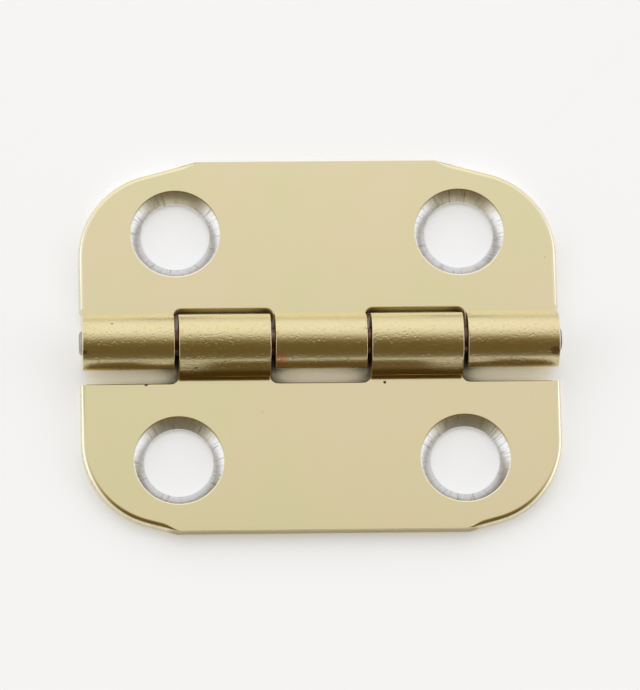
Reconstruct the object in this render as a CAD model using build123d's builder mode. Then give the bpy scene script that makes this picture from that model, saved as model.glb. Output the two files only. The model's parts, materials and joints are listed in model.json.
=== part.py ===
from build123d import *
import os
from math import cos, radians, sin, tan

# Box hinge: two blanked and rolled sheet-steel leaves that turn on one wire pin.
# It lies open on the backs of its leaves, with the countersinks up.
# X runs along the pin, Y runs across the leaves, and Z = 0 is the plane of the backs.
# Sizes are in millimetres and degrees.

# Overall sizes, with the hinge open flat
hinge_length = 30.0
three_knuckle_width = 12.1  # from the pin's axis to the leaf's outer edge
two_knuckle_width = 11.9

# Sheet, pin and the fits between them
sheet = 0.9
pin_diameter = 1.6
grip_gap = 0.01  # radial, in the knuckles that hold the pin
running_gap = 0.06  # radial, in the knuckles that turn on the pin
pin_stand_out = 0.2  # each end of the pin past the end knuckles
pin_end_round = 0.3

# Knuckles
three_leaf_knuckles = 3
two_leaf_knuckles = 2
knuckle_gap = 0.27  # between the ends of neighbouring knuckles
tail_lean = 24.0  # how far the tail of a roll leans out from upright
seam_gap = 0.05  # between the end of the tail and the leaf that it comes down on
three_knuckle_notch = 0.67  # from the round of a knuckle to the edge of the notch it turns in
two_knuckle_notch = 0.63
notch_fillet = 0.5

# Outer corners: a blanked round that runs out to the slit edge of the strip at an angle
corner_radius = 5.5
corner_exit_angle = 15.0
three_knuckle_shoulder = 0.89  # drop from the outer edge to the end of the round
two_knuckle_shoulder = 0.49
die_roll = 0.32  # rounding that the punch leaves on the blanked edges

# Countersunk screw holes
hole_spacing = 17.85
hole_offset = 7.35  # from the pin's axis
hole_diameter = 4.3
countersink_diameter = 5.6
countersink_angle = 90.0

# Values that follow from the sizes above
pin_radius = pin_diameter / 2
knuckle_pitch = hinge_length / (three_leaf_knuckles + two_leaf_knuckles)
knuckle_width = knuckle_pitch - knuckle_gap
largest_radius = pin_radius + max(grip_gap, running_gap) + sheet
axis_height = largest_radius


def leaf_blank(side, back, leaf_width, shoulder_drop, notch_edge):
    """Sketch the flat of a leaf from above, out from its notches, with both outer corners."""
    half_length = hinge_length / 2
    turn = radians(90 - corner_exit_angle)
    corner_start = leaf_width - shoulder_drop - corner_radius * sin(turn)
    exit_run = shoulder_drop / tan(radians(corner_exit_angle))
    plan = Plane(origin=(0, 0, back), x_dir=(side, 0, 0), z_dir=(0, 0, 1))
    with BuildSketch(plan) as blank:
        with BuildLine():
            notch_line = Line((0, notch_edge), (half_length, notch_edge))
            side_edge = Line(notch_line @ 1, (half_length, corner_start))
            corner = JernArc(side_edge @ 1, side_edge % 1, corner_radius, 90 - corner_exit_angle)
            shoulder = Line(corner @ 1, corner @ 1 + (-exit_run, shoulder_drop))
            Line(shoulder @ 1, (0, leaf_width))
            mirror(about=Plane.YZ)
        make_face()
    return blank.sketch


def knuckle_sections(side, back, bore_radius, notch_edge, knuckle_count):
    """Sketch the section of a leaf's knuckles, at the middle of each one.

    The sheet runs under the pin, rises on the far side, goes over the top and comes
    down on its own leaf, where the end of the tail leaves a narrow seam.
    """
    lean = radians(tail_lean)
    tail_length = (bore_radius * (1 + sin(lean)) - seam_gap) / cos(lean)
    first = -knuckle_pitch * (knuckle_count - 1)
    across = Plane(origin=(0, 0, 0), x_dir=(0, side, 0), z_dir=(side, 0, 0))
    middles = [across.offset(first + 2 * knuckle_pitch * i) for i in range(knuckle_count)]
    with BuildSketch(*middles) as sections:
        with BuildLine():
            under = Line((notch_edge, back), (0, back))
            outside = CenterArc((0, axis_height), bore_radius + sheet, -90, tail_lean - 270)
            tail_outside = PolarLine(outside @ 1, tail_length, direction=outside % 1)
            over = Line((notch_edge, back + sheet), (0, back + sheet))
            inside = CenterArc((0, axis_height), bore_radius, -90, tail_lean - 270)
            tail_inside = PolarLine(inside @ 1, tail_length, direction=inside % 1)
            Line(under @ 0, over @ 0)
            Line(tail_outside @ 1, tail_inside @ 1)
        make_face()
    return sections.sketch


def rolled_leaf(side, leaf_width, shoulder_drop, notch_clearance, radial_gap, knuckle_count):
    """Make one leaf in the current part, on the +Y side of the pin (1) or the -Y side (-1)."""
    bore_radius = pin_radius + radial_gap
    back = axis_height - bore_radius - sheet
    notch_edge = largest_radius + notch_clearance

    # The flat, with the edges rounded where the punch went in: the sides and the corners
    extrude(leaf_blank(side, back, leaf_width, shoulder_drop, notch_edge), amount=sheet)
    face_edges = edges().group_by(Axis.Z)[-1]
    straight_across = face_edges.filter_by(Axis.X)
    fillet(face_edges - straight_across, radius=die_roll)

    # The knuckles, with a fillet in each corner of the notches between them
    sections = knuckle_sections(side, back, bore_radius, notch_edge, knuckle_count)
    extrude(sections, amount=knuckle_width / 2, both=True)
    upright = edges().filter_by(Axis.Z)
    between_ends = upright.filter_by(lambda edge: abs(edge.center().X) < hinge_length / 2 - knuckle_gap)
    roots = between_ends.filter_by(lambda edge: abs(abs(edge.center().Y) - notch_edge) < notch_fillet)
    fillet(roots, radius=notch_fillet)

    # The screw holes, countersunk from the face
    with Locations((0, side * hole_offset, back + sheet)):
        with GridLocations(hole_spacing, 1, 2, 1):
            CounterSinkHole(
                radius=hole_diameter / 2,
                counter_sink_radius=countersink_diameter / 2,
                counter_sink_angle=countersink_angle,
            )


os.makedirs("parts", exist_ok=True)

with BuildPart() as three_knuckle_leaf:
    rolled_leaf(
        side=1,
        leaf_width=three_knuckle_width,
        shoulder_drop=three_knuckle_shoulder,
        notch_clearance=three_knuckle_notch,
        radial_gap=grip_gap,
        knuckle_count=three_leaf_knuckles,
    )
three_knuckle_leaf.part.label = "three_knuckle_leaf"
export_step(three_knuckle_leaf.part, "parts/three_knuckle_leaf.step")

with BuildPart() as two_knuckle_leaf:
    rolled_leaf(
        side=-1,
        leaf_width=two_knuckle_width,
        shoulder_drop=two_knuckle_shoulder,
        notch_clearance=two_knuckle_notch,
        radial_gap=running_gap,
        knuckle_count=two_leaf_knuckles,
    )
two_knuckle_leaf.part.label = "two_knuckle_leaf"
export_step(two_knuckle_leaf.part, "parts/two_knuckle_leaf.step")

with BuildPart() as hinge_pin:
    with BuildSketch(Plane.YZ):
        with Locations((0, axis_height)):
            Circle(pin_radius)
    extrude(amount=(hinge_length - knuckle_gap) / 2 + pin_stand_out, both=True)
    fillet(edges().filter_by(GeomType.CIRCLE), radius=pin_end_round)
hinge_pin.part.label = "hinge_pin"
export_step(hinge_pin.part, "parts/hinge_pin.step")
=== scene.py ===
# %% [markdown]
# # A brass-plated box hinge
# The hinge lies open on a pale table: two leaves of sheet steel whose fingers are rolled into five
# knuckles round a wire pin. The leaves are plated with brass, and their screw holes are cut last.
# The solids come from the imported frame. This script gives them edges, finishes, light and a camera.

# %% Load the frame
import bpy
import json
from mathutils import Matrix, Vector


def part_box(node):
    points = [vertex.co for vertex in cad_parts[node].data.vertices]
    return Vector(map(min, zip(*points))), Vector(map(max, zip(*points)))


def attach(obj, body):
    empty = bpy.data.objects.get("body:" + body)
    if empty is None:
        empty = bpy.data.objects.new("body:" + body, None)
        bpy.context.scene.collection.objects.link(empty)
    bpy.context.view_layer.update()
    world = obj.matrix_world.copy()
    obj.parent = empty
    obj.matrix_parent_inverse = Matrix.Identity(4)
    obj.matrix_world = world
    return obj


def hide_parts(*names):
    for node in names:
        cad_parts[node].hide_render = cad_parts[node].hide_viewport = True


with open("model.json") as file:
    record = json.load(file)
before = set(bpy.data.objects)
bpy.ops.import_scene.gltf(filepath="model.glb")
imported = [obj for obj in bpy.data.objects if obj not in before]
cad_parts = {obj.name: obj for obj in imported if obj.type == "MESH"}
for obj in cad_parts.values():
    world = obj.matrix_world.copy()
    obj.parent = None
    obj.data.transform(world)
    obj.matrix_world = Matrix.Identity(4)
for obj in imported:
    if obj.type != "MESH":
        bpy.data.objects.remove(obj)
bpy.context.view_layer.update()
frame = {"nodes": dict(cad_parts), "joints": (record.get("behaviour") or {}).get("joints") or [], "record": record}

# %% [markdown]
# ## Small helpers for node trees
# Both the shapes and the finishes are node trees, and every tree needs the same few moves: add a node,
# feed its sockets, and do a sum on numbers or on vectors. Written once here, they keep the later cells
# to what matters.

# %% Helpers that add and feed nodes
import bpy


def feed(tree, socket, source):
    """Link a socket to another node's output, or give it a plain value."""
    if isinstance(source, bpy.types.NodeSocket):
        tree.links.new(source, socket)
    else:
        socket.default_value = source


def add(tree, kind, sources=None, **settings):
    """Add a node, choose its settings, then feed its sockets by name or by number."""
    node = tree.nodes.new(kind)
    for name, value in settings.items():
        setattr(node, name, value)
    for key, source in (sources or {}).items():
        feed(tree, node.inputs[key], source)
    return node


def calc(tree, operation, *sources):
    """One sum on plain numbers."""
    return add(tree, "ShaderNodeMath", dict(enumerate(sources)), operation=operation).outputs[0]


def vector_calc(tree, operation, *sources):
    """One sum on vectors, with its result under Vector, or under Value if it is a number."""
    return add(tree, "ShaderNodeVectorMath", dict(enumerate(sources)), operation=operation).outputs


def point(tree, x=0.0, y=0.0, z=0.0):
    """A vector from its three parts."""
    return add(tree, "ShaderNodeCombineXYZ", {"X": x, "Y": y, "Z": z}).outputs[0]


def parts(tree, vector):
    """The three parts of a vector."""
    return add(tree, "ShaderNodeSeparateXYZ", {0: vector}).outputs


print("node helpers ready")

# %% [markdown]
# ## Sizes
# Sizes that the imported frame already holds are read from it, so the dressed leaves can't drift away
# from the solids. The others are the press tool's own: sheet, roll, notch and corner sizes, in
# millimetres, as a drawing of the hinge would give them.

# %% Sizes from the frame, then the press tool's own
from math import acos, cos, degrees, pi, radians, sin, tan

MM = 1000.0


def millimetres(metres):
    """A length from the frame, to the nearest micrometre."""
    return round(metres * MM, 3)


axis_height = millimetres(frame["joints"][0]["pos_m"][2])
half_length = millimetres(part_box("two_knuckle_leaf")[1].x)
mounts = {mount["name"]: mount for mount in frame["record"]["mounts"]}
screws = mounts["three_knuckle_screws"]
hole_spacing = screws["dims"]["spacing_x_mm"]
hole_radius = screws["dims"]["hole_r_mm"]
hole_offset = millimetres(screws["pos_m"][1])

sheet = 0.9
knuckle_pitch = 6.0
knuckle_gap = 0.27
knuckle_width = knuckle_pitch - knuckle_gap
tail_lean = 24.0
seam_gap = 0.05
notch_fillet = 0.5
corner_radius = 5.5
corner_exit_angle = 15.0
countersink_radius = 2.8
countersink_angle = 90.0
land = sheet - (countersink_radius - hole_radius) / tan(radians(countersink_angle / 2))
die_roll = 0.32
print("pin axis at", axis_height, "mm, land under the countersink", round(land, 3), "mm")

# %% [markdown]
# ## Finishes: marks that both metals share
# Everything that has been in a box of hinges carries the same two marks: hairline scratches and tiny
# specks. They could be painted, but then each piece needs a picture of its own. Here they are one node
# group, placed in each metal with its own strength. Stretched noise cut off near its top leaves short
# thin lines, and a few cells of a Voronoi pattern become specks.

# %% Helpers for soft masks


def fade(tree, value, low, high):
    """A soft step from 0 at low to 1 at high."""
    sources = {0: value, 1: low, 2: high}
    return add(tree, "ShaderNodeMapRange", sources, interpolation_type="SMOOTHSTEP").outputs[0]


def opposite(tree, mask):
    """One minus a mask."""
    return calc(tree, "SUBTRACT", 1.0, mask)


def both(tree, *masks):
    """Where all of the masks hold."""
    result = masks[0]
    for mask in masks[1:]:
        result = calc(tree, "MULTIPLY", result, mask)
    return result


def noise(tree, vector, scale, detail=2.0):
    """Even noise around one half, with so many waves to the millimetre."""
    return add(tree, "ShaderNodeTexNoise", {"Vector": vector, "Scale": scale, "Detail": detail}).outputs[0]


def dots(tree, vector, scale, size, choice):
    """A soft dot in the chosen cells of a Voronoi pattern."""
    cells = add(tree, "ShaderNodeTexVoronoi", {"Vector": vector, "Scale": scale}).outputs
    shape = opposite(tree, fade(tree, cells["Distance"], *size))
    chance = add(tree, "ShaderNodeSeparateColor", {0: cells["Color"]}).outputs[0]
    return both(tree, shape, fade(tree, chance, *choice))


print("mask helpers ready")

# %% The group of handling marks
USUAL_TURN = 0.3
HAIR_STRETCH = (0.16, 5.0, 1.2)
HAIR_DETAIL = 1.0
HAIR_CUT = (0.72, 0.80)
SPECK_CELLS = 0.55
SPECK_SIZE = (0.025, 0.06)
SPECK_CHOICE = (0.72, 0.74)


def group_sockets(tree, inputs, outputs):
    """Give a node group its named sockets."""
    for name, kind, value in inputs:
        socket = tree.interface.new_socket(name, in_out="INPUT", socket_type=kind)
        if value is not None:
            socket.default_value = value
    for name, kind in outputs:
        tree.interface.new_socket(name, in_out="OUTPUT", socket_type=kind)


marks = bpy.data.node_groups.new("handling_marks", "ShaderNodeTree")
group_sockets(
    marks,
    [("Place", "NodeSocketVector", None), ("Turn", "NodeSocketFloat", USUAL_TURN)],
    [("Scratch", "NodeSocketFloat"), ("Speck", "NodeSocketFloat")],
)
marks_in = add(marks, "NodeGroupInput").outputs
turned = add(
    marks,
    "ShaderNodeVectorRotate",
    {"Vector": marks_in["Place"], "Angle": marks_in["Turn"]},
    rotation_type="Z_AXIS",
).outputs[0]
hair_place = vector_calc(marks, "MULTIPLY", turned, HAIR_STRETCH)["Vector"]
scratch = fade(marks, noise(marks, hair_place, 1.0, HAIR_DETAIL), *HAIR_CUT)
speck = dots(marks, marks_in["Place"], SPECK_CELLS, SPECK_SIZE, SPECK_CHOICE)
add(marks, "NodeGroupOutput", {"Scratch": scratch, "Speck": speck})
print("node group", marks.name, "with", len(marks.nodes), "nodes")

# %% [markdown]
# ## The press tool: from a flat outline to a rolled leaf
# A leaf starts as a flat blank with fingers, and the fingers are curled round a mandrel of the pin's
# size. It could be modelled as a plate with tubes joined on, but then each knuckle needs its own
# fitting and the seam under its tail is lost. Here a Geometry Nodes tree bends the sheet as the press
# does, and both leaves come out of the same tool. The holes are made before the roll, because a place
# is easy to find while the sheet is flat.

# %% The press tool's named inputs
LENGTHS = (
    "Sheet", "Land", "Hole Radius", "Countersink Radius", "Hole Spacing", "Hole Offset",
    "Leaf Width", "Notch Edge", "Strip Start", "Strip Length", "Knuckle Width", "Knuckle Pitch",
    "Bore Radius", "Axis Height", "Roll Angle", "Leaf Turn",
)
COUNTS = ("Knuckle Count", "Strip Rows")
press = bpy.data.node_groups.new("press_leaf", "GeometryNodeTree")
group_sockets(
    press,
    [("Outline", "NodeSocketGeometry", None)]
    + [(name, "NodeSocketFloat", 0.0) for name in LENGTHS]
    + [(name, "NodeSocketInt", 2) for name in COUNTS]
    + [("Finish", "NodeSocketMaterial", None)],
    [("Leaf", "NodeSocketGeometry")],
)
press_in = add(press, "NodeGroupInput").outputs
press_socket = {item.name: item.identifier for item in press.interface.items_tree}
print("press tool with", len(LENGTHS), "sizes and", len(COUNTS), "counts")

# %% [markdown]
# The flat comes first. The outline and the two holes are filled as one flat face. The fingers repeat
# at every second knuckle, so one strip of narrow rows is placed by a row of points. Its rows are what
# lets it bend smoothly later. Where strip and plate meet, their shared corners are merged.

# %% Press step 1: fill the blank and set the fingers on it
WELD_DISTANCE = 0.001


def weld(tree, *pieces):
    """Join pieces of mesh and merge the points where they meet."""
    joined = add(tree, "GeometryNodeJoinGeometry")
    for piece in pieces:
        feed(tree, joined.inputs[0], piece)
    sources = {"Geometry": joined.outputs[0], "Distance": WELD_DISTANCE}
    return add(tree, "GeometryNodeMergeByDistance", sources).outputs[0]


outline_curve = add(press, "GeometryNodeMeshToCurve", {"Mesh": press_in["Outline"]})
plate = add(press, "GeometryNodeFillCurve", {"Curve": outline_curve.outputs[0]}, mode="NGONS")
strip = add(
    press,
    "GeometryNodeMeshGrid",
    {
        "Size X": press_in["Knuckle Width"],
        "Size Y": press_in["Strip Length"],
        "Vertices X": 2,
        "Vertices Y": press_in["Strip Rows"],
    },
)
pitches_left = calc(press, "SUBTRACT", 1.0, press_in["Knuckle Count"])
first_x = calc(press, "MULTIPLY", press_in["Knuckle Pitch"], pitches_left)
half_strip = calc(press, "MULTIPLY", press_in["Strip Length"], 0.5)
first_y = calc(press, "SUBTRACT", press_in["Strip Start"], half_strip)
step_x = calc(press, "MULTIPLY", press_in["Knuckle Pitch"], 2.0)
finger_row = add(
    press,
    "GeometryNodeMeshLine",
    {
        "Count": press_in["Knuckle Count"],
        "Start Location": point(press, first_x, first_y),
        "Offset": point(press, step_x),
    },
)
fingers = add(
    press, "GeometryNodeInstanceOnPoints", {"Points": finger_row.outputs[0], "Instance": strip.outputs[0]}
)
real_fingers = add(press, "GeometryNodeRealizeInstances", {"Geometry": fingers.outputs[0]})
flat_blank = weld(press, plate.outputs[0], real_fingers.outputs[0])
print("press step 1 ready:", len(press.nodes), "nodes so far")

# %% [markdown]
# Next the blank gets its thickness, in two lifts. The line between them is where the cone of the
# countersink will stop, so a narrow land is left under it. The walls that the lifts make are the
# sheared edges, which are rougher than the faces. An attribute marks them for the finish to read.

# %% Press step 2: thickness, with the sheared walls marked
UP = (0.0, 0.0, 1.0)


def store(tree, mesh, name, value, selection=True, **kind):
    """Keep a value on a mesh under a name."""
    sources = {"Geometry": mesh, "Selection": selection, "Name": name, "Value": value}
    return add(tree, "GeometryNodeStoreNamedAttribute", sources, **kind).outputs[0]


def lift(tree, mesh, height, selection=True):
    """Raise faces by a height and mark the walls that this makes as sheared."""
    raised = add(
        tree,
        "GeometryNodeExtrudeMesh",
        {"Mesh": mesh, "Selection": selection, "Offset": UP, "Offset Scale": height, "Individual": False},
    ).outputs
    marked = store(tree, raised["Mesh"], "sheared", 1.0, raised["Side"], data_type="FLOAT", domain="FACE")
    return marked, raised["Top"]


land_mesh, land_top = lift(press, flat_blank, press_in["Land"])
cone_height = calc(press, "SUBTRACT", press_in["Sheet"], press_in["Land"])
full_mesh = lift(press, land_mesh, cone_height, land_top)[0]
underside = add(press, "GeometryNodeFlipFaces", {"Mesh": flat_blank})
thick_blank = weld(press, full_mesh, underside.outputs[0])
print("press step 2 ready:", len(press.nodes), "nodes so far")

# %% [markdown]
# A countersink only widens the top of a hole, so the points of each top rim are pushed out to the
# larger radius. Both holes are handled at once by folding X over to one side with its absolute value.
# The place of every point in the flat is then kept, because the edges are chosen by it later on.

# %% Press step 3: countersink the holes
RIM_MARGIN = 0.05


def from_nearest_hole(tree, x, y, half_spacing, offset):
    """How far a place is from the middle of the nearest hole, along X and along Y."""
    beside = calc(tree, "SUBTRACT", calc(tree, "ABSOLUTE", x), half_spacing)
    return beside, calc(tree, "SUBTRACT", y, offset)


place = add(press, "GeometryNodeInputPosition").outputs[0]
flat_x, flat_y, height = parts(press, place)
half_spacing = calc(press, "MULTIPLY", press_in["Hole Spacing"], 0.5)
hole_way = point(press, *from_nearest_hole(press, flat_x, flat_y, half_spacing, press_in["Hole Offset"]))
hole_distance = vector_calc(press, "LENGTH", hole_way)["Value"]
outward = vector_calc(press, "NORMALIZE", hole_way)["Vector"]
rim_way = vector_calc(press, "MULTIPLY", outward, press_in["Countersink Radius"])["Vector"]
rim_x, rim_y = parts(press, rim_way)[:2]
wide_x = calc(press, "MULTIPLY", calc(press, "ADD", half_spacing, rim_x), calc(press, "SIGN", flat_x))
wide_y = calc(press, "ADD", press_in["Hole Offset"], rim_y)
in_rim = calc(press, "LESS_THAN", hole_distance, calc(press, "ADD", press_in["Hole Radius"], RIM_MARGIN))
over_land = calc(press, "GREATER_THAN", height, calc(press, "ADD", press_in["Land"], RIM_MARGIN))
countersunk = add(
    press,
    "GeometryNodeSetPosition",
    {
        "Geometry": thick_blank,
        "Selection": both(press, in_rim, over_land),
        "Position": point(press, wide_x, wide_y, height),
    },
)
remembered = store(
    press, countersunk.outputs[0], "blank_place", place, data_type="FLOAT_VECTOR", domain="POINT"
)
print("press step 3 ready:", len(press.nodes), "nodes so far")

# %% [markdown]
# Rolling is one sum for every point. Past the pin's axis, the distance along the sheet becomes an
# angle round the axis at the middle of the sheet, and each skin keeps its own radius. When the roll
# angle is used up, the rest runs on straight as the tail that comes down on the leaf.

# %% Press step 4: roll the fingers
before_axis = calc(press, "MAXIMUM", flat_y, 0.0)
past_axis = calc(press, "MAXIMUM", calc(press, "MULTIPLY", flat_y, -1.0), 0.0)
outer_radius = calc(press, "ADD", press_in["Bore Radius"], press_in["Sheet"])
half_sheet = calc(press, "MULTIPLY", press_in["Sheet"], 0.5)
middle_radius = calc(press, "ADD", press_in["Bore Radius"], half_sheet)
roll_length = calc(press, "MULTIPLY", middle_radius, press_in["Roll Angle"])
angle = calc(press, "MINIMUM", calc(press, "DIVIDE", past_axis, middle_radius), press_in["Roll Angle"])
tail = calc(press, "MAXIMUM", calc(press, "SUBTRACT", past_axis, roll_length), 0.0)
skin_radius = calc(press, "SUBTRACT", outer_radius, height)
turn_sin = calc(press, "SINE", angle)
turn_cos = calc(press, "COSINE", angle)
arc_y = calc(press, "SUBTRACT", before_axis, calc(press, "MULTIPLY", skin_radius, turn_sin))
arc_z = calc(press, "SUBTRACT", press_in["Axis Height"], calc(press, "MULTIPLY", skin_radius, turn_cos))
rolled_y = calc(press, "SUBTRACT", arc_y, calc(press, "MULTIPLY", tail, turn_cos))
rolled_z = calc(press, "ADD", arc_z, calc(press, "MULTIPLY", tail, turn_sin))
rolled = add(
    press,
    "GeometryNodeSetPosition",
    {"Geometry": remembered, "Position": point(press, flat_x, rolled_y, rolled_z)},
)
print("press step 4 ready:", len(press.nodes), "nodes so far")

# %% [markdown]
# No real edge is perfectly sharp. The punch draws the sheet over where it goes in, which leaves a
# wide round along the sides and corners. Every other edge only has its burr broken. A bevel weight
# on each edge says which it is, and the wide round runs out where the corner meets the slit edge.

# %% Press step 5: say how far each edge is broken
SHARP_ANGLE = radians(30.0)
FINE_SHARE = 0.2
TAPER_DROP = 0.28
LEVEL_MARGIN = 0.01
HOLE_MARGIN = 0.1
edge_angle = add(press, "GeometryNodeInputMeshEdgeAngle").outputs["Unsigned Angle"]
kept_place = add(
    press, "GeometryNodeInputNamedAttribute", {"Name": "blank_place"}, data_type="FLOAT_VECTOR"
).outputs[0]
kept_x, kept_y, kept_height = parts(press, kept_place)
kept_way = point(press, *from_nearest_hole(press, kept_x, kept_y, half_spacing, press_in["Hole Offset"]))
kept_distance = vector_calc(press, "LENGTH", kept_way)["Value"]
face_level = calc(press, "SUBTRACT", press_in["Sheet"], LEVEL_MARGIN)
notch_level = calc(press, "ADD", press_in["Notch Edge"], LEVEL_MARGIN)
hole_level = calc(press, "ADD", press_in["Countersink Radius"], HOLE_MARGIN)
taper_start = calc(press, "SUBTRACT", press_in["Leaf Width"], TAPER_DROP)
punched = both(
    press,
    calc(press, "GREATER_THAN", kept_height, face_level),
    calc(press, "GREATER_THAN", kept_y, notch_level),
    calc(press, "GREATER_THAN", kept_distance, hole_level),
    opposite(press, fade(press, kept_y, taper_start, press_in["Leaf Width"])),
)
share = calc(press, "ADD", FINE_SHARE, calc(press, "MULTIPLY", punched, 1.0 - FINE_SHARE))
weight = calc(press, "MULTIPLY", calc(press, "GREATER_THAN", edge_angle, SHARP_ANGLE), share)
weighted = store(press, rolled.outputs[0], "bevel_weight_edge", weight, data_type="FLOAT", domain="EDGE")
print("press step 5 ready:", len(press.nodes), "nodes so far")

# %% [markdown]
# At the end the leaf is turned to its own side of the pin and brought from millimetres to metres.
# A turn of half a circle serves for the second leaf, where a mirror would turn its faces inside out.
# The tree ends with plain geometry that already has its finish.

# %% Press step 6: turn the leaf to its side of the pin and finish it
smooth = add(press, "GeometryNodeSetShadeSmooth", {"Geometry": weighted})
in_place = add(
    press,
    "GeometryNodeTransform",
    {
        "Geometry": smooth.outputs[0],
        "Rotation": point(press, z=press_in["Leaf Turn"]),
        "Scale": (1 / MM, 1 / MM, 1 / MM),
    },
)
real_leaf = add(press, "GeometryNodeRealizeInstances", {"Geometry": in_place.outputs[0]})
finished = add(
    press,
    "GeometryNodeSetMaterial",
    {"Geometry": real_leaf.outputs[0], "Material": press_in["Finish"]},
)
add(press, "NodeGroupOutput", {"Leaf": finished.outputs[0]})
print("press tool complete:", len(press.nodes), "nodes")

# %% [markdown]
# ## Brass plate on steel
# The leaves are plated after they are blanked and rolled, so faces and edges are all brass, bright on
# the flat faces and duller on the sheared edges. The screw holes are cut last, through the plate, and
# show bare steel from top to bottom. The rounds of the sides are painted pale, a painted highlight for
# the white that they reflect.
# Each part could have a material of its own, but then every border is a hard line. Here one material
# holds them all, and soft masks made from the place on the leaf say where each part goes.

# %% Masks for the rolls and the ends of the knuckles
ROLL_REACH = (1.7, 2.3)
CROWN_REACH = (3.20, 3.36)
END_REACH = (0.0, 0.45)
plated_brass = bpy.data.materials.new("plated_brass")
plated_brass.use_nodes = True
brass = plated_brass.node_tree


def place_in_mm(tree):
    """The Object coordinate in millimetres."""
    coordinate = add(tree, "ShaderNodeTexCoord").outputs["Object"]
    return vector_calc(tree, "MULTIPLY", coordinate, (MM, MM, MM))["Vector"]


brass_place = place_in_mm(brass)
leaf_x, leaf_y, leaf_z = parts(brass, brass_place)
along = calc(brass, "ABSOLUTE", leaf_x)
across = calc(brass, "ABSOLUTE", leaf_y)
on_roll = opposite(brass, fade(brass, across, *ROLL_REACH))
on_crown = both(brass, on_roll, fade(brass, leaf_z, *CROWN_REACH))
nearest_knuckle = calc(brass, "ROUND", calc(brass, "DIVIDE", leaf_x, knuckle_pitch))
from_knuckle = calc(brass, "SUBTRACT", leaf_x, calc(brass, "MULTIPLY", nearest_knuckle, knuckle_pitch))
to_end = calc(brass, "SUBTRACT", knuckle_width / 2, calc(brass, "ABSOLUTE", from_knuckle))
at_end = both(brass, on_roll, opposite(brass, fade(brass, to_end, *END_REACH)))
print("roll masks for", plated_brass.name)

# %% Masks for the holes and the sheared walls
RIM_SOFT = 0.1
GAP_REACH = (2.6, 2.9)
GAP_ENDS = (half_length - 0.4, half_length - 0.2)
SLIT_REACH = (11.70, 11.85)
is_sheared = add(brass, "ShaderNodeAttribute", attribute_name="sheared").outputs["Fac"]
hole_x, hole_y = from_nearest_hole(brass, leaf_x, across, hole_spacing / 2, hole_offset)
hole_reach = vector_calc(brass, "LENGTH", point(brass, hole_x, hole_y))["Value"]
in_hole = opposite(brass, fade(brass, hole_reach, countersink_radius, countersink_radius + RIM_SOFT))
on_cone = both(brass, is_sheared, in_hole)
on_wall = both(brass, is_sheared, opposite(brass, in_hole))
inside_ends = opposite(brass, fade(brass, along, *GAP_ENDS))
# painted shade: the sheared walls round the knuckles, which are painted dark brown
gap_painted_shade = both(brass, on_wall, inside_ends, opposite(brass, fade(brass, across, *GAP_REACH)))
on_slit = both(brass, on_wall, fade(brass, across, *SLIT_REACH))
print("hole and wall masks for", plated_brass.name)

# %% Masks for the tails, their seams and the rounds of the sides
FAR_TAIL_REACH, FAR_TAIL_HEIGHT = (1.15, 1.45), (1.0, 1.2)
NEAR_TAIL_REACH = (1.74, 1.82)
SEAM_FOOT, SEAM_TOP = (0.95, 1.05), (1.68, 2.12)
ROUND_START, ROUND_END = (0.25, 0.50), (0.93, 0.99)
# painted reflection: the far tails, which are painted pale
far_tail_painted_sheen = both(brass, fade(brass, leaf_y, *FAR_TAIL_REACH), fade(brass, leaf_z, *FAR_TAIL_HEIGHT))
# painted shade: the near tails, painted dark brown just above their seams
seam_painted_shade = both(
    brass,
    fade(brass, calc(brass, "MULTIPLY", leaf_y, -1.0), *NEAR_TAIL_REACH),
    fade(brass, leaf_z, *SEAM_FOOT),
    opposite(brass, fade(brass, leaf_z, *SEAM_TOP)),
)
normal = add(brass, "ShaderNodeNewGeometry").outputs["Normal"]
facing_x = calc(brass, "ABSOLUTE", parts(brass, normal)[0])
past_round = fade(brass, facing_x, *ROUND_END)
on_round = both(brass, fade(brass, facing_x, *ROUND_START), opposite(brass, past_round))
# painted highlight: the side-facing rounds of the leaf, painted pale
side_round_highlight = both(brass, on_round, opposite(brass, is_sheared))
print("tail, seam and round masks for", plated_brass.name)

# %% [markdown]
# A plated face is nearly even to the eye: its tone only drifts, over centimetres, between straw and
# tan. The knuckles are browner, with small round pits and fine glints, and with coppery spots where
# the plate is thin at their ends. Their far tails are painted pale, a painted reflection of the bright
# back of the room, and the near tails are painted dark just above their seams, a painted shade.
# Each of these is one layer over the last, so a list of mask, share and colour holds them.

# %% Tone of the plate, in layers
STRAW = (0.735, 0.672, 0.424, 1.0)
TAN = (0.756, 0.665, 0.443, 1.0)
BRONZE = (0.600, 0.475, 0.215, 1.0)
# painted highlight colour for the rounds of the sides
SIDE_HIGHLIGHT = (0.900, 0.870, 0.740, 1.0)
PALE = (0.860, 0.800, 0.560, 1.0)
# painted shade colour for the near tails above their seams
SEAM_SHADE = (0.290, 0.200, 0.055, 1.0)
COPPER = (0.600, 0.370, 0.205, 1.0)
DRIFT_SCALE, DRIFT_RANGE = 0.11, (0.35, 0.65)
GRAIN_SCALE, GLINT_RANGE = 7.0, (0.34, 0.47)
PIT_CELLS, PIT_SIZE, PIT_CHOICE = 6.0, (0.10, 0.55), (0.20, 1.00)
WEAR_SCALE, WEAR_RANGE = 2.2, (0.58, 0.67)


def blend(tree, share, first, second):
    """Mix two colours."""
    return add(tree, "ShaderNodeMix", {0: share, 6: first, 7: second}, data_type="RGBA").outputs[2]


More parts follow.
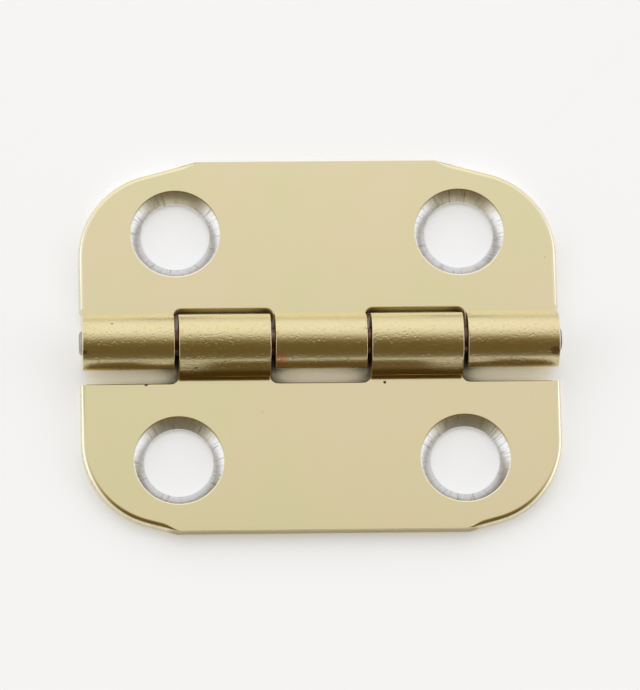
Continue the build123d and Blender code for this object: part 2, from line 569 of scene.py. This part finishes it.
drift = fade(brass, noise(brass, brass_place, DRIFT_SCALE), *DRIFT_RANGE)
grain = noise(brass, brass_place, GRAIN_SCALE)
pits = both(brass, on_roll, dots(brass, brass_place, PIT_CELLS, PIT_SIZE, PIT_CHOICE))
glints = both(brass, on_roll, opposite(brass, fade(brass, grain, *GLINT_RANGE)))
worn = both(brass, at_end, fade(brass, noise(brass, brass_place, WEAR_SCALE), *WEAR_RANGE))
layers = (
    (on_roll, 0.42, BRONZE),
    # painted highlight on the rounds of the sides
    (side_round_highlight, 0.85, SIDE_HIGHLIGHT),
    # painted reflection: the far tails painted pale
    (far_tail_painted_sheen, 0.80, PALE),
    (pits, 0.40, BRONZE),
    (glints, 0.12, PALE),
    # painted shade above the near seams
    (seam_painted_shade, 0.90, SEAM_SHADE),
    (worn, 0.80, COPPER),
)
plate_tone = blend(brass, drift, STRAW, TAN)
for mask, layer_share, colour in layers:
    plate_tone = blend(brass, calc(brass, "MULTIPLY", mask, layer_share), plate_tone, colour)
print("plate tone from", STRAW[:3], "to", TAN[:3], "under", len(layers), "layers")

# %% [markdown]
# A short list places the few scuffs that this hinge has got in use, each with its reach in millimetres
# and its tone. The grain makes their borders ragged. The specks of the handling marks come last.

# %% Scuffs and specks
ROSE = (0.760, 0.420, 0.230, 1.0)
UMBER = (0.380, 0.270, 0.150, 1.0)
SOOT = (0.060, 0.045, 0.025, 1.0)
SCUFFS = (
    ((-2.60, -1.45, 2.67), 0.60, ROSE),
    ((-14.75, -0.98, 3.16), 0.22, UMBER),
    ((14.55, -1.10, 3.07), 0.40, UMBER),
    ((-7.82, -1.745, 2.165), 0.10, SOOT),
    ((-10.90, -2.42, 0.88), 0.16, SOOT),
    ((4.00, -2.42, 0.88), 0.12, SOOT),
)
SCUFF_BORDER = 1.5
BRASS_SPECKS = 0.6
for spot, reach, colour in SCUFFS:
    from_spot = vector_calc(brass, "DISTANCE", brass_place, spot)["Value"]
    ragged = calc(brass, "ADD", from_spot, calc(brass, "MULTIPLY", grain, reach))
    scuffed = opposite(brass, fade(brass, ragged, reach, SCUFF_BORDER * reach))
    plate_tone = blend(brass, scuffed, plate_tone, colour)
brass_marks = add(brass, "ShaderNodeGroup", {"Place": brass_place}, node_tree=marks).outputs
speck_share = calc(brass, "MULTIPLY", brass_marks["Speck"], BRASS_SPECKS)
plate_tone = blend(brass, speck_share, plate_tone, SOOT)
print(len(SCUFFS), "scuffs on the plate")

# %% [markdown]
# The walls that the punch sheared are nearly as bright as the faces, with streaks that run the way the
# punch went. The straight outer edge was slit, which leaves it torn and dull. Between the knuckles the
# walls of the notches and of the knuckle ends are painted dark brown, a painted shade for the narrow gaps.
# A countersink keeps the chatter of its cutter, which runs down the cone, so its streaks follow the
# angle round the hole.

# %% Tone of the walls and the countersinks
PUNCHED = (0.860, 0.800, 0.600, 1.0)
SLIT = (0.520, 0.450, 0.270, 1.0)
# painted shade colour for the walls in the gaps between the knuckles
GAP_SHADE = (0.520, 0.350, 0.090, 1.0)
STEEL = (0.770, 0.765, 0.770, 1.0)
DARK_STEEL = (0.480, 0.470, 0.470, 1.0)
SHEAR_STRETCH = (7.0, 7.0, 0.8)
STREAK_RANGE, STREAK_SHARE = (0.50, 0.75), 0.4
TORN_HEIGHT, TORN_SHARE = (0.30, 0.60), 0.5
CHATTER_MARKS, CHATTER_RANGE = 26.0, (0.52, 0.78)
shear = noise(brass, vector_calc(brass, "MULTIPLY", brass_place, SHEAR_STRETCH)["Vector"], 1.0)
streaks = calc(brass, "MULTIPLY", fade(brass, shear, *STREAK_RANGE), STREAK_SHARE)
torn = both(brass, on_slit, opposite(brass, fade(brass, leaf_z, *TORN_HEIGHT)))
wall_shade = calc(brass, "MAXIMUM", calc(brass, "MULTIPLY", torn, TORN_SHARE), streaks)
cut_tone = blend(brass, on_slit, PUNCHED, SLIT)
# painted shade: the walls in the gaps are mixed towards a dark brown
wall_tone = blend(brass, gap_painted_shade, blend(brass, wall_shade, cut_tone, BRONZE), GAP_SHADE)
chatter_angle = calc(brass, "MULTIPLY", calc(brass, "ARCTAN2", hole_y, hole_x), CHATTER_MARKS)
chatter = noise(brass, point(brass, chatter_angle, hole_reach, leaf_x), 1.0)
steel_tone = blend(brass, fade(brass, chatter, *CHATTER_RANGE), STEEL, DARK_STEEL)
leaf_tone = blend(brass, on_cone, blend(brass, on_wall, plate_tone, wall_tone), steel_tone)
print("steel tone from", STEEL[:3], "to", DARK_STEEL[:3])

# %% [markdown]
# Roughness and bump finish the metal. The bump's height is counted in millimetres and its distance is
# one millimetre, so a grain of a few micrometres is written as what it is. The crowns of the rolls,
# where the tool pressed hardest, have deeper pits and a fine grit.

# %% Roughness, relief and the shader of the plate
FACE_ROUGH, ROLL_ROUGH, WALL_ROUGH, STEEL_ROUGH = 0.17, 0.27, 0.36, 0.26
SCRATCH_ROUGH, SCRATCH_DEPTH = 0.05, 0.0003
FACE_GRAIN, ROLL_GRAIN = 0.0003, 0.0040
PIT_DEPTH, CROWN_PIT = 0.010, 0.013
GRIT_SCALE, GRIT_DEPTH = 13.0, 0.0080
SHEAR_DEPTH, CHATTER_DEPTH = 0.006, 0.007


def mix(tree, share, first, second):
    """Mix two numbers."""
    return add(tree, "ShaderNodeMix", {0: share, 2: first, 3: second}, data_type="FLOAT").outputs[0]


def dress_metal(tree, tone, rough, relief):
    """Give a material's shader the colour, the roughness and the relief of a metal."""
    bump = add(tree, "ShaderNodeBump", {"Strength": 1.0, "Distance": 1 / MM, "Height": relief})
    sockets = tree.nodes["Principled BSDF"].inputs
    feed(tree, sockets["Base Color"], tone)
    feed(tree, sockets["Metallic"], 1.0)
    feed(tree, sockets["Roughness"], rough)
    feed(tree, sockets["Normal"], bump.outputs[0])


scratched = brass_marks["Scratch"]
scratch_rough = calc(brass, "MULTIPLY", scratched, SCRATCH_ROUGH)
plate_rough = calc(brass, "ADD", mix(brass, on_roll, FACE_ROUGH, ROLL_ROUGH), scratch_rough)
leaf_rough = mix(brass, on_cone, mix(brass, on_wall, plate_rough, WALL_ROUGH), STEEL_ROUGH)
grain_relief = calc(brass, "MULTIPLY", grain, mix(brass, on_roll, FACE_GRAIN, ROLL_GRAIN))
grit = both(brass, on_crown, noise(brass, brass_place, GRIT_SCALE))
standing = calc(brass, "ADD", grain_relief, calc(brass, "MULTIPLY", grit, GRIT_DEPTH))
pit_relief = calc(brass, "MULTIPLY", pits, mix(brass, on_crown, PIT_DEPTH, CROWN_PIT))
sunken = calc(brass, "ADD", calc(brass, "MULTIPLY", scratched, SCRATCH_DEPTH), pit_relief)
face_relief = calc(brass, "SUBTRACT", standing, sunken)
wall_relief = calc(brass, "MULTIPLY", shear, SHEAR_DEPTH)
cone_relief = calc(brass, "MULTIPLY", chatter, CHATTER_DEPTH)
leaf_relief = mix(brass, on_cone, mix(brass, on_wall, face_relief, wall_relief), cone_relief)
dress_metal(brass, leaf_tone, leaf_rough, leaf_relief)
print(plated_brass.name, "has", len(brass.nodes), "nodes")

# %% [markdown]
# ## Blanks
# Only the outline differs between the two leaves. It is a straight slit edge, a shoulder, a round
# corner and a side, mirrored, and then a row of finger roots with a small round in each notch.
# Rounds are arcs worked out from a centre, so their smoothness is one number.

# %% The outer edge of a blank
CORNER_STEPS = 24
SHOULDER_STEPS = 8


def arc(centre_x, centre_y, radius, start, end, steps):
    """Points along an arc, with both its ends."""
    turns = [radians(start + (end - start) * step / steps) for step in range(steps + 1)]
    return [(centre_x + radius * cos(turn), centre_y + radius * sin(turn)) for turn in turns]


def outer_half(leaf_width, shoulder_drop):
    """The right half of the outer edge, from the side up to the slit edge."""
    corner_end = leaf_width - shoulder_drop
    corner_turn = 90.0 - corner_exit_angle
    corner_start = corner_end - corner_radius * sin(radians(corner_turn))
    points = arc(half_length - corner_radius, corner_start, corner_radius, 0.0, corner_turn, CORNER_STEPS)
    x, y = points[-1]
    run = shoulder_drop / tan(radians(corner_exit_angle))
    for step in range(1, SHOULDER_STEPS + 1):
        done = step / SHOULDER_STEPS
        points.append((x - run * done, y + shoulder_drop * done))
    return points


print("corner of", corner_radius, "mm in", CORNER_STEPS, "steps")

# %% The finger roots and the holes of a blank
NOTCH_STEPS = 10
HOLE_STEPS = 96


def finger_root(middle, notch_edge):
    """The root of one finger, from its left notch to its right one."""
    left = middle - knuckle_width / 2
    right = middle + knuckle_width / 2
    root = notch_edge - notch_fillet
    if left < -half_length + knuckle_gap:
        left_side = [(left, notch_edge), (left, root)]
    else:
        left_side = arc(left - notch_fillet, root, notch_fillet, 90.0, 0.0, NOTCH_STEPS)
    if right > half_length - knuckle_gap:
        right_side = [(right, root), (right, notch_edge)]
    else:
        right_side = arc(right + notch_fillet, root, notch_fillet, 180.0, 90.0, NOTCH_STEPS)
    return left_side + right_side


def knuckle_middles(count):
    """Where a leaf's knuckles are along the pin."""
    return [knuckle_pitch * (2 * index + 1 - count) for index in range(count)]


def blank_loops(leaf_width, shoulder_drop, notch_edge, knuckle_count):
    """The outline of a blank and its two holes, as closed loops of points."""
    right = outer_half(leaf_width, shoulder_drop)
    left = [(-x, y) for x, y in reversed(right)]
    outline = [(half_length, notch_edge)] + right + left + [(-half_length, notch_edge)]
    for middle in knuckle_middles(knuckle_count):
        outline += finger_root(middle, notch_edge)
    loops = [outline]
    for side in (-1, 1):
        hole = arc(side * hole_spacing / 2, hole_offset, hole_radius, 0.0, 360.0, HOLE_STEPS)
        loops.append(hole[:-1])
    return loops


print("knuckle middles", knuckle_middles(3), "and", knuckle_middles(2))

# %% [markdown]
# ## The two leaves
# Each blank goes through the press tool, then a Bevel modifier breaks its edges by their weights and
# a Weighted Normal modifier keeps the flats flat beside the small rounds. The result is turned into a
# plain mesh that stands for its CAD node and rides on the node's body.

# %% From a blank to a plain mesh
BEVEL_SEGMENTS = 4
NORMAL_WEIGHT = 100


def blank_object(name, loops):
    """A mesh of loose edges that holds the outline of a blank."""
    points, edges = [], []
    for loop in loops:
        first = len(points)
        points += [(x, y, 0.0) for x, y in loop]
        edges += [(first + i, first + (i + 1) % len(loop)) for i in range(len(loop))]
    mesh = bpy.data.meshes.new(name)
    mesh.from_pydata(points, edges, [])
    blank = bpy.data.objects.new(name, mesh)
    bpy.context.scene.collection.objects.link(blank)
    return blank


def pressed_mesh(blank, sizes):
    """Put a blank through the press tool and return the finished leaf as a plain mesh."""
    tool = blank.modifiers.new("press", "NODES")
    tool.node_group = press
    for name, value in sizes.items():
        tool[press_socket[name]] = value
    edges = blank.modifiers.new("broken_edges", "BEVEL")
    edges.limit_method = "WEIGHT"
    edges.width = die_roll / MM
    edges.segments = BEVEL_SEGMENTS
    edges.use_clamp_overlap = False
    normals = blank.modifiers.new("flat_faces", "WEIGHTED_NORMAL")
    normals.weight = NORMAL_WEIGHT
    evaluated = blank.evaluated_get(bpy.context.evaluated_depsgraph_get())
    mesh = bpy.data.meshes.new_from_object(evaluated)
    bpy.data.objects.remove(blank)
    return mesh


print("edges broken by up to", die_roll, "mm in", BEVEL_SEGMENTS, "segments")

# %% Press both leaves
STRIP_ROWS = 150


def press_leaf(node, body, leaf_turn, shoulder_drop, notch_clearance, knuckle_count):
    """Make the visible leaf that stands for a CAD node."""
    low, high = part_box(node)
    leaf_width = millimetres(max(-low.y, high.y))
    bore_radius = axis_height - millimetres(low.z) - sheet
    notch_edge = axis_height + notch_clearance
    lean = radians(tail_lean)
    roll_angle = 1.5 * pi - lean
    tail_length = (bore_radius * (1 + sin(lean)) - seam_gap) / cos(lean)
    strip_start = notch_edge - notch_fillet
    blank = blank_object(node + "_blank", blank_loops(leaf_width, shoulder_drop, notch_edge, knuckle_count))
    mesh = pressed_mesh(
        blank,
        {
            "Sheet": sheet,
            "Land": land,
            "Hole Radius": hole_radius,
            "Countersink Radius": countersink_radius,
            "Hole Spacing": hole_spacing,
            "Hole Offset": hole_offset,
            "Leaf Width": leaf_width,
            "Notch Edge": notch_edge,
            "Strip Start": strip_start,
            "Strip Length": strip_start + (bore_radius + sheet / 2) * roll_angle + tail_length,
            "Knuckle Width": knuckle_width,
            "Knuckle Pitch": knuckle_pitch,
            "Bore Radius": bore_radius,
            "Axis Height": axis_height,
            "Roll Angle": roll_angle,
            "Leaf Turn": leaf_turn,
            "Knuckle Count": knuckle_count,
            "Strip Rows": STRIP_ROWS,
            "Finish": plated_brass,
        },
    )
    mesh.name = node + "_plated"
    leaf = bpy.data.objects.new(node + "_plated", mesh)
    bpy.context.scene.collection.objects.link(leaf)
    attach(leaf, body)
    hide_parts(node)
    print(leaf.name, len(mesh.polygons), "faces, leaf width", leaf_width, "mm")


press_leaf(
    "three_knuckle_leaf",
    "three_knuckle_side",
    leaf_turn=0.0,
    shoulder_drop=0.89,
    notch_clearance=0.67,
    knuckle_count=3,
)
press_leaf(
    "two_knuckle_leaf",
    "two_knuckle_side",
    leaf_turn=pi,
    shoulder_drop=0.49,
    notch_clearance=0.63,
    knuckle_count=2,
)

# %% [markdown]
# ## The pin
# The pin's solid already has its true shape, a wire with rounded ends, so it stays and only gets a
# finish: drawn steel with lines along its length, browned all over but bright at one cut end. Noise
# that is stretched along the wire gives the lines, and the shared handling marks go over them.

# %% Finish of the pin
WIRE = (0.300, 0.250, 0.200, 1.0)
BROWNED = (0.130, 0.065, 0.040, 1.0)
CUT_END = (0.430, 0.390, 0.330, 1.0)
DRAWN_STRETCH, DRAWN_DETAIL = (0.25, 9.0, 9.0), 3.0
BROWN_SCALE, BROWN_RANGE = 1.4, (0.30, 0.60)
CUT_REACH = (half_length - 0.25, half_length - 0.10)
WIRE_TURN, WIRE_SPECKS = 1.1, 0.8
DRAWN_DEPTH, WIRE_SCRATCH_DEPTH = 0.003, 0.002
WIRE_ROUGH, DRAWN_ROUGH = 0.26, 0.16
drawn_wire = bpy.data.materials.new("drawn_wire")
drawn_wire.use_nodes = True
wire = drawn_wire.node_tree
wire_place = place_in_mm(wire)
drawn_place = vector_calc(wire, "MULTIPLY", wire_place, DRAWN_STRETCH)["Vector"]
drawn = noise(wire, drawn_place, 1.0, DRAWN_DETAIL)
browning = fade(wire, noise(wire, wire_place, BROWN_SCALE), *BROWN_RANGE)
to_left = calc(wire, "MULTIPLY", parts(wire, wire_place)[0], -1.0)
wire_marks = add(wire, "ShaderNodeGroup", {"Place": wire_place, "Turn": WIRE_TURN}, node_tree=marks).outputs
wire_shade = calc(wire, "MAXIMUM", browning, calc(wire, "MULTIPLY", wire_marks["Speck"], WIRE_SPECKS))
length_tone = blend(wire, wire_shade, WIRE, BROWNED)
wire_tone = blend(wire, fade(wire, to_left, *CUT_REACH), length_tone, CUT_END)
wire_rough = calc(wire, "ADD", WIRE_ROUGH, calc(wire, "MULTIPLY", drawn, DRAWN_ROUGH))
wire_scratch = calc(wire, "MULTIPLY", wire_marks["Scratch"], WIRE_SCRATCH_DEPTH)
wire_relief = calc(wire, "SUBTRACT", calc(wire, "MULTIPLY", drawn, DRAWN_DEPTH), wire_scratch)
dress_metal(wire, wire_tone, wire_rough, wire_relief)
hinge_pin = frame["nodes"]["hinge_pin"]
hinge_pin.data.materials.clear()
hinge_pin.data.materials.append(drawn_wire)
print("pin finish on", hinge_pin.name)

# %% [markdown]
# ## Table
# The hinge lies on a plain pale table that runs far past the picture. A white table lit only by the
# room looks grey, so it has a little light of its own. That light only reaches the camera and
# mirror-like rays, and only where the table lies open: how open a place is comes from an Ambient
# Occlusion node. So the hinge keeps its shadow, and close to the brass the table takes on its warm
# light. Where the table lies nearly closed, its own colour is painted dark as well, a painted shade
# that keeps the narrowest gaps dark.

# %% The table
TABLE_HALF = 3.0
table_mesh = bpy.data.meshes.new("table")
table_mesh.from_pydata(
    [(x * TABLE_HALF, y * TABLE_HALF, 0.0) for x, y in ((-1, -1), (1, -1), (1, 1), (-1, 1))],
    [],
    [(0, 1, 2, 3)],
)
table = bpy.data.objects.new("table", table_mesh)
bpy.context.scene.collection.objects.link(table)
print("table", 2 * TABLE_HALF, "m across")

# %% Finish of the table
TABLE_WHITE = (0.892, 0.912, 0.958, 1.0)
# painted shade colour of the table where it lies nearly closed
TABLE_SHADE = (0.100, 0.075, 0.060, 1.0)
BRASS_GLOW = (1.000, 0.920, 0.680, 1.0)
TABLE_LIFT = 0.33
OPEN_REACH, OPEN_SAMPLES = 0.004, 32
SHADE_RANGE, LIFT_RANGE, GLOW_RANGE = (0.14, 0.28), (0.18, 0.28), (0.30, 0.60)
table_white = bpy.data.materials.new("table_white")
table_white.use_nodes = True
top = table_white.node_tree
top.nodes.remove(top.nodes["Principled BSDF"])


def seen_directly(tree):
    """1 for rays from the camera, from a mirror or through glass, and 0 for soft light."""
    ray = add(tree, "ShaderNodeLightPath").outputs
    direct = calc(tree, "MAXIMUM", ray["Is Camera Ray"], ray["Is Glossy Ray"])
    return calc(tree, "MAXIMUM", direct, ray["Is Transmission Ray"])


overhead = add(top, "ShaderNodeAmbientOcclusion", {"Distance": OPEN_REACH}, samples=OPEN_SAMPLES)
openness = overhead.outputs["AO"]
# painted shade: the table's own colour darkens where the occlusion node finds it closed
table_colour = blend(top, fade(top, openness, *SHADE_RANGE), TABLE_SHADE, TABLE_WHITE)
table_soft = add(top, "ShaderNodeBsdfDiffuse", {"Color": table_colour})
lift_share = both(top, seen_directly(top), fade(top, openness, *LIFT_RANGE))
lift_colour = blend(top, fade(top, openness, *GLOW_RANGE), BRASS_GLOW, TABLE_WHITE)
lift_level = calc(top, "MULTIPLY", lift_share, TABLE_LIFT)
table_glow = add(top, "ShaderNodeEmission", {"Color": lift_colour, "Strength": lift_level})
table_both = add(top, "ShaderNodeAddShader", {0: table_soft.outputs[0], 1: table_glow.outputs[0]})
feed(top, top.nodes["Material Output"].inputs["Surface"], table_both.outputs[0])
table_mesh.materials.append(table_white)
print(table_white.name, "has", len(top.nodes), "nodes")

# %% [markdown]
# ## Light
# Bright metal shows its surroundings, so the light is a matter of what stands around the table: a wide
# soft ceiling, a brighter wall low at the back, two sides that are a little brighter, and the dim side
# of the room behind the camera. Between bright and dim the room passes through a warm tone, which is
# what gives the brass its depth. Lamps would leave small hard glints, so the world itself is the room,
# as a colour and a level for each direction.

# %% The room around the table
ROOM_BRIGHT = (1.00, 1.00, 1.00, 1.0)
ROOM_WARM = (1.00, 0.88, 0.48, 1.0)
ROOM_DIM = (0.180, 0.125, 0.046, 1.0)
ROOM_LOW = (0.185, 0.155, 0.090, 1.0)
DIM_ELEVATION, DIM_SPREAD = 40.0, (0.30, 0.86)
LOW_SPREAD = (0.25, 0.50)
BACK_ELEVATION, BACK_SPREAD = 34.0, (0.70, 1.00)
SIDE_SPREAD = (0.72, 0.94)
CEILING_LEVEL, BACK_LEVEL, SIDE_LEVEL = 0.97, 0.28, 0.35
FRONT, BACK = -1, 1
room_world = bpy.data.worlds.new("room")
room_world.use_nodes = True
bpy.context.scene.world = room_world
room = room_world.node_tree
direction = add(room, "ShaderNodeTexCoord").outputs["Generated"]


def towards(elevation, side):
    """How closely a direction points at a height over the front or the back of the table."""
    aim = (0.0, side * cos(radians(elevation)), sin(radians(elevation)))
    return vector_calc(room, "DOT_PRODUCT", direction, aim)["Value"]


way = parts(room, direction)
dim_share = fade(room, towards(DIM_ELEVATION, FRONT), *DIM_SPREAD)
dim_colour = blend(room, fade(room, way["Z"], *LOW_SPREAD), ROOM_LOW, ROOM_DIM)
warm_colour = blend(room, dim_share, ROOM_BRIGHT, ROOM_WARM)
room_colour = blend(room, dim_share, warm_colour, dim_colour)
back_glow = calc(room, "MULTIPLY", fade(room, towards(BACK_ELEVATION, BACK), *BACK_SPREAD), BACK_LEVEL)
to_side = calc(room, "ABSOLUTE", way["X"])
side_glow = calc(room, "MULTIPLY", fade(room, to_side, *SIDE_SPREAD), SIDE_LEVEL)
room_level = calc(room, "ADD", calc(room, "ADD", back_glow, side_glow), CEILING_LEVEL)
background = room.nodes["Background"]
feed(room, background.inputs["Color"], room_colour)
feed(room, background.inputs["Strength"], room_level)
print("room with", len(room.nodes), "nodes: dim at the front, bright at the back and above")

# %% [markdown]
# ## Camera
# The picture was taken from far off, steeply from above and a little from the left. The camera stands
# in that place, worked out from the outlines of the leaves and holes, with a lens long enough for the
# hinge to fill the picture.

# %% The camera
from mathutils import Matrix, Vector

CAMERA_PLACE = Vector((-0.0212, -0.1144, 0.3935))
AIM = Vector((0.0, 0.0, 0.001))
PICTURE_TILT = radians(0.5)
LENS = 342.0
NEAREST = 0.01
back = (CAMERA_PLACE - AIM).normalized()
right = (Vector((1.0, 0.0, 0.0)) - back * back.x).normalized()
axes = Matrix((right, back.cross(right), back)).transposed()
camera_data = bpy.data.cameras.new("camera")
camera_data.lens = LENS
camera_data.clip_start = NEAREST
camera = bpy.data.objects.new("camera", camera_data)
camera.matrix_world = (
    Matrix.Translation(CAMERA_PLACE) @ axes.to_4x4() @ Matrix.Rotation(-PICTURE_TILT, 4, "Z")
)
bpy.context.scene.collection.objects.link(camera)
bpy.context.scene.camera = camera
bpy.context.scene.view_settings.view_transform = "Standard"
print("camera elevation", round(90.0 - degrees(acos(back.z)), 1), "degrees")

# %% [markdown]
# ## The end

# %% The end
import json
